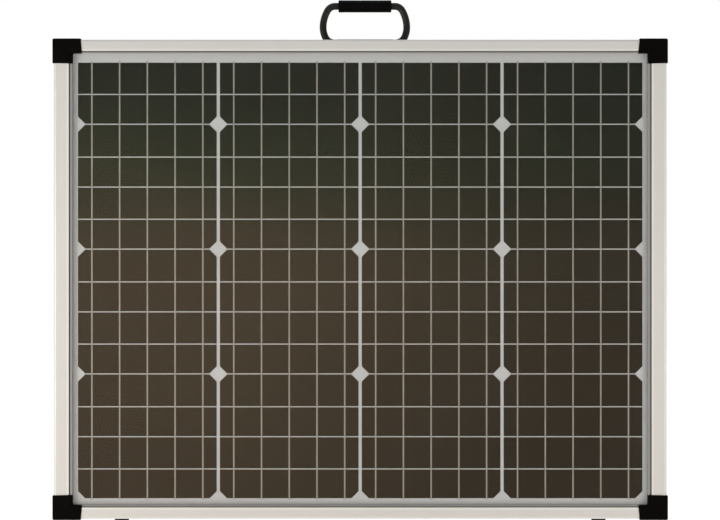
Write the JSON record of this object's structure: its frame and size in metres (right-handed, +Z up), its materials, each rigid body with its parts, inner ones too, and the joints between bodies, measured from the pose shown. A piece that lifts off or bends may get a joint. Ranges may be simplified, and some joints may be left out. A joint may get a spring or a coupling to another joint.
{
  "type": "folding solar suitcase",
  "caption": "Folding solar suitcase: two framed glass solar panels hinged along one long edge, with a carrying bail, side draw latches, folding stands and a charge controller inside.",
  "frame": {"origin": "centre of the closed case's underside, at the level its feet stand on", "axes": "+X along the case's length, +Y towards the rear panel (the front panel's glass faces -Y), +Z up towards the handle"},
  "size_m": [0.7, 0.075, 0.5974],
  "materials": {
    "frame_aluminium": "satin silver anodised",
    "corner_plastic": "fine moulded texture",
    "panel_glass": "clear low-iron glass",
    "seal_rubber": "matt",
    "silicon_cell": "dark anti-reflection coated silicon",
    "ribbon_tin": "tinned ribbon",
    "backsheet_film": "pale film",
    "box_plastic": "moulded",
    "diode_body": "moulded",
    "foot_rubber": "matt",
    "hinge_steel": "stainless",
    "screw_steel": "zinc plated",
    "handle_steel": "satin black coating",
    "grip_rubber": "matt",
    "latch_steel": "plated",
    "stand_aluminium": "satin",
    "controller_plastic": "moulded",
    "display_window": "display window",
    "circuit_board": "solder mask",
    "button_plastic": "moulded"
  },
  "bodies": {
    "rear_panel": {"rear_stiles": "frame_aluminium", "rear_rails": "frame_aluminium", "rear_corner_caps": "corner_plastic", "rear_glass": "panel_glass", "rear_glass_seal": "seal_rubber", "rear_cells": "silicon_cell", "rear_ribbons": "ribbon_tin", "rear_backsheet": "backsheet_film", "rear_junction_box": "box_plastic", "rear_junction_lid": "box_plastic", "rear_bypass_diodes": "diode_body", "rear_feet": "foot_rubber", "rear_hinge_leaves": "hinge_steel", "hinge_pins": "hinge_steel", "rear_hinge_screws": "screw_steel", "handle_plate": "handle_steel", "handle_screws": "screw_steel", "latch_bases": "latch_steel", "latch_pins": "latch_steel", "latch_screws": "screw_steel", "rear_stand_brackets": "stand_aluminium", "rear_stand_bolts": "screw_steel", "controller_case": "controller_plastic", "controller_cover": "controller_plastic", "controller_display": "display_window", "controller_board": "circuit_board", "controller_screws": "screw_steel", "controller_gland": "box_plastic"},
    "front_panel": {"front_stiles": "frame_aluminium", "front_rails": "frame_aluminium", "front_corner_caps": "corner_plastic", "front_glass": "panel_glass", "front_glass_seal": "seal_rubber", "front_cells": "silicon_cell", "front_ribbons": "ribbon_tin", "front_backsheet": "backsheet_film", "front_junction_box": "box_plastic", "front_junction_lid": "box_plastic", "front_bypass_diodes": "diode_body", "front_feet": "foot_rubber", "front_hinge_leaves": "hinge_steel", "front_hinge_screws": "screw_steel", "latch_keepers": "latch_steel", "keeper_screws": "screw_steel", "front_stand_brackets": "stand_aluminium", "front_stand_bolts": "screw_steel"},
    "handle": {"handle_bail": "handle_steel", "handle_grip": "grip_rubber"},
    "left_lever": {"left_latch_lever": "latch_steel"},
    "right_lever": {"right_latch_lever": "latch_steel"},
    "left_loop": {"left_latch_loop": "latch_steel"},
    "right_loop": {"right_latch_loop": "latch_steel"},
    "rear_stand": {"rear_stand_arms": "stand_aluminium", "rear_stand_bar": "stand_aluminium"},
    "front_stand": {"front_stand_arms": "stand_aluminium", "front_stand_bar": "stand_aluminium"},
    "menu_button": {"menu_button": "button_plastic"},
    "load_button": {"load_button": "button_plastic"}
  },
  "joints": [
    {"name": "case_fold", "type": "hinge", "parent": "rear_panel", "child": "front_panel", "pos_m": [0, 0, 0.0026], "axis": [1, 0, 0], "range_deg": [0, 180]},
    {"name": "handle_swing", "type": "hinge", "parent": "rear_panel", "child": "handle", "pos_m": [0.0055, 0.019, 0.5479], "axis": [1, 0, 0], "range_deg": [-90, 80]},
    {"name": "rear_stand_fold", "type": "hinge", "parent": "rear_panel", "child": "rear_stand", "pos_m": [0.3, 0.0145, 0.3], "axis": [0, 0, 1], "range_deg": [0, 40]},
    {"name": "front_stand_fold", "type": "hinge", "parent": "front_panel", "child": "front_stand", "pos_m": [0.3, -0.0145, 0.3], "axis": [0, 0, -1], "range_deg": [0, 40]},
    {"name": "left_latch_lever", "type": "hinge", "parent": "rear_panel", "child": "left_lever", "pos_m": [-0.3474, 0.009, 0.4446], "axis": [0, 0, 1], "range_deg": [0, 150]},
    {"name": "right_latch_lever", "type": "hinge", "parent": "rear_panel", "child": "right_lever", "pos_m": [0.3474, 0.009, 0.4446], "axis": [0, 0, -1], "range_deg": [0, 150]},
    {"name": "left_latch_loop", "type": "hinge", "parent": "left_lever", "child": "left_loop", "pos_m": [-0.3468, 0.014, 0.4446], "axis": [0, 0, 1], "range_deg": [-150, 0]},
    {"name": "right_latch_loop", "type": "hinge", "parent": "right_lever", "child": "right_loop", "pos_m": [0.3468, 0.014, 0.4446], "axis": [0, 0, -1], "range_deg": [-150, 0]},
    {"name": "menu_button_press", "type": "slide", "parent": "rear_panel", "child": "menu_button", "axis": [0, 1, 0], "range_m": [0, 0.001], "stiffness_N_per_m": 400},
    {"name": "load_button_press", "type": "slide", "parent": "rear_panel", "child": "load_button", "axis": [0, 1, 0], "range_m": [0, 0.001], "stiffness_N_per_m": 400}
  ],
  "couplings": [
    {"joint": "rear_stand_fold", "follows": "case_fold", "ratio": 0.22222},
    {"joint": "front_stand_fold", "follows": "case_fold", "ratio": 0.22222},
    {"joint": "left_latch_loop", "follows": "left_latch_lever", "ratio": -1},
    {"joint": "right_latch_loop", "follows": "right_latch_lever", "ratio": -1}
  ]
}
